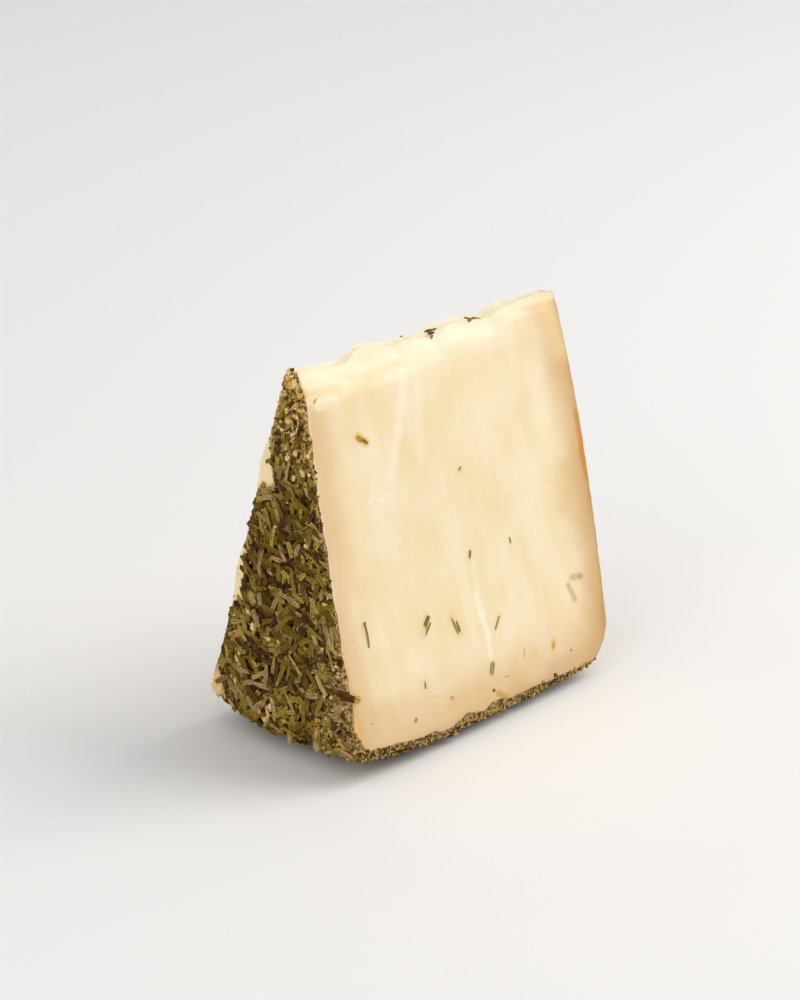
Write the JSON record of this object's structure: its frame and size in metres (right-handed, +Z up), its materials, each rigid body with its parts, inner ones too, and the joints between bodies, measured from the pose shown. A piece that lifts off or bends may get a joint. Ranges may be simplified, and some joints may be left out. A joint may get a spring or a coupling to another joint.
{
  "type": "rosemary sheep cheese wedge",
  "caption": "Wedge of firm sheep cheese cut from a round wheel, standing on its rim, with a rosemary coat on the rim and faces and a broken tip.",
  "frame": {"origin": "on the surface the wedge stands on, under the middle of the wedge's bounding box", "axes": "+X along the wheel's axle, from the rosemary face to the plain face; -Y out of the wide front cut face; +Z up, from the rim to the broken tip"},
  "size_m": [0.1, 0.0548, 0.1011],
  "materials": {
    "cheese": "cut cheese paste, satin, slightly translucent",
    "rosemary": "dried rosemary needles, matte with a faint gloss",
    "rind": "natural rind under the needles, matte"
  },
  "bodies": {
    "root": {"cheese_wedge": "cheese"}
  },
  "joints": []
}
